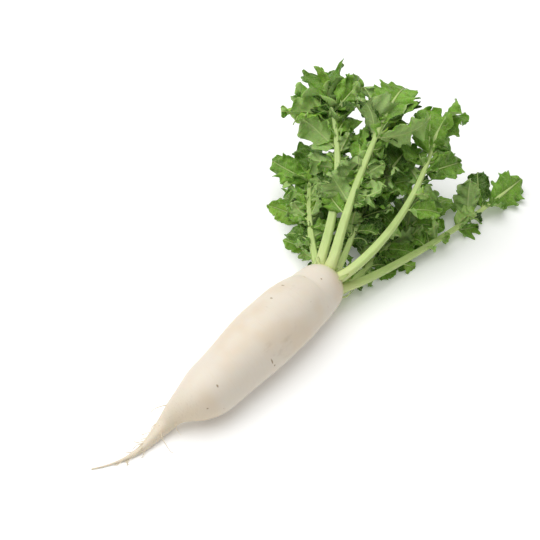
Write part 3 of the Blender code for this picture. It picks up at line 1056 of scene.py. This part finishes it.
class DAIKON_OT_blades(bpy.types.Operator):
    """Model each leaf's veined blades"""

    bl_idname = "daikon.blades"
    bl_label = "Blades"

    def execute(self, context):
        settings = context.scene.daikon_leaf
        upper = blade_material(settings, "leaf upper side", underside=False)
        under = blade_material(settings, "leaf underside", underside=True)
        for number in LEAVES:
            shape = start_shape()
            for leaflet in LEAFLETS[number]:
                add_blade(shape, leaflet, settings)
            piece = finish_shape(
                shape, f"leaf_{number}_blades", [upper, under], node_blades(number)
            )
            skin = piece.modifiers.new("thickness", "SOLIDIFY")
            skin.thickness = settings.thickness
            skin.offset = 0
            skin.material_offset = 1
        return {"FINISHED"}


LEAFLETS = {}


def plan_leaflets():
    """Fills in every leaf's blades, packed ones first."""
    for number in LEAVES:
        draw = random.Random(int(number) * 17)
        LEAFLETS[number] = packed_leaflets(number, draw) + small_leaflets(number, draw)


# ---------------------------------------------------------------- stage


FLOOR_SIZE = 12.0
# What the camera looks at: behind the root's foremost end and to the side of its dome.
AIM_BACK = 10 * MM
AIM_ASIDE = 76.6 * MM
# The large light's side and its place from there: to the camera's right, away from the camera, and up.
KEY_SIZE = 4.4
KEY_RIGHT = -0.9
KEY_AWAY = 0.2
KEY_HEIGHT = 3.2


class DAIKON_OT_stage(bpy.types.Operator):
    """Add the floor, the lights and the camera"""

    bl_idname = "daikon.stage"
    bl_label = "Stage"

    def execute(self, context):
        settings = context.scene.daikon_stage
        scene = context.scene
        shape = bmesh.new()
        bmesh.ops.create_grid(shape, x_segments=1, y_segments=1, size=FLOOR_SIZE)
        bmesh.ops.translate(shape, verts=shape.verts, vec=(0, 0, -0.1 * MM))
        mesh = bpy.data.meshes.new("floor")
        shape.to_mesh(mesh)
        shape.free()
        floor = bpy.data.objects.new("floor", mesh)
        scene.collection.objects.link(floor)
        material, _, shader = start_material("white card")
        shader.inputs["Base Color"].default_value = settings.floor
        shader.inputs["Roughness"].default_value = 0.75
        shader.inputs["Emission Color"].default_value = settings.floor
        shader.inputs["Emission Strength"].default_value = settings.floor_glow
        mesh.materials.append(material)

        world = bpy.data.worlds.new("soft light")
        world.use_nodes = True
        background = world.node_tree.nodes["Background"]
        background.inputs["Color"].default_value = linear("FFFFFF")
        background.inputs["Strength"].default_value = settings.fill
        scene.world = world

        aim = Vector((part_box("root")[1].x - AIM_BACK, ROOT.dome_centre[1] + AIM_ASIDE, 0))
        turn, rise = math.radians(settings.azimuth), math.radians(settings.elevation)
        depth = Vector((-math.sin(turn), math.cos(turn), 0))
        right = Vector((math.cos(turn), math.sin(turn), 0))
        forward = depth * math.cos(rise) + Vector((0, 0, -math.sin(rise)))
        camera = bpy.data.objects.new("camera", bpy.data.cameras.new("camera"))
        camera.data.lens = settings.lens
        camera.data.sensor_width = 36
        camera.location = aim - forward * settings.distance
        camera.rotation_euler = forward.to_track_quat("-Z", "Y").to_euler()
        scene.collection.objects.link(camera)
        scene.camera = camera

        key_place = aim + right * KEY_RIGHT + depth * KEY_AWAY + Vector((0, 0, KEY_HEIGHT))
        light = bpy.data.objects.new("key light", bpy.data.lights.new("key light", "AREA"))
        light.data.energy = settings.key_power
        light.data.size = KEY_SIZE
        light.location = key_place
        light.rotation_euler = (aim - key_place).to_track_quat("-Z", "Y").to_euler()
        scene.collection.objects.link(light)
        scene.view_settings.view_transform = "Standard"
        return {"FINISHED"}


# ---------------------------------------------------------------- panel and running


class DAIKON_PT_panel(bpy.types.Panel):
    """Sizes, colours and steps of the daikon"""

    bl_idname = "DAIKON_PT_panel"
    bl_label = "Daikon radish"
    bl_space_type = "VIEW_3D"
    bl_region_type = "UI"
    bl_category = "Daikon"

    def draw(self, context):
        layout = self.layout
        for title, group in (
            ("Root", context.scene.daikon_root), ("Leaves", context.scene.daikon_leaf),
            ("Stage", context.scene.daikon_stage),
        ):
            box = layout.box()
            box.label(text=title)
            for name in group.__annotations__:
                box.prop(group, name)
        for operator in OPERATORS:
            layout.operator(operator.bl_idname)


OPERATORS = (
    DAIKON_OT_stage,
    DAIKON_OT_root,
    DAIKON_OT_hair_roots,
    DAIKON_OT_crown,
    DAIKON_OT_stalks,
    DAIKON_OT_blades,
)
SETTINGS = (
    ("daikon_root", DaikonRootSettings),
    ("daikon_leaf", DaikonLeafSettings),
    ("daikon_stage", DaikonStageSettings),
)


def register():
    """Registers the settings, the operators and the panel."""
    for name, group in SETTINGS:
        bpy.utils.register_class(group)
        setattr(bpy.types.Scene, name, PointerProperty(type=group))
    for added in (*OPERATORS, DAIKON_PT_panel):
        bpy.utils.register_class(added)


def unregister():
    """Takes away what register added, in the reverse order."""
    for added in reversed((*OPERATORS, DAIKON_PT_panel)):
        bpy.utils.unregister_class(added)
    for name, group in reversed(SETTINGS):
        delattr(bpy.types.Scene, name)
        bpy.utils.unregister_class(group)


def main():
    """Builds the daikon and its stage."""
    register()
    plan_leaflets()
    bpy.ops.daikon.stage()
    bpy.ops.daikon.root()
    bpy.ops.daikon.hair_roots()
    bpy.ops.daikon.crown()
    bpy.ops.daikon.stalks()
    bpy.ops.daikon.blades()
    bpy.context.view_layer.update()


if __name__ == "__main__":
    main()
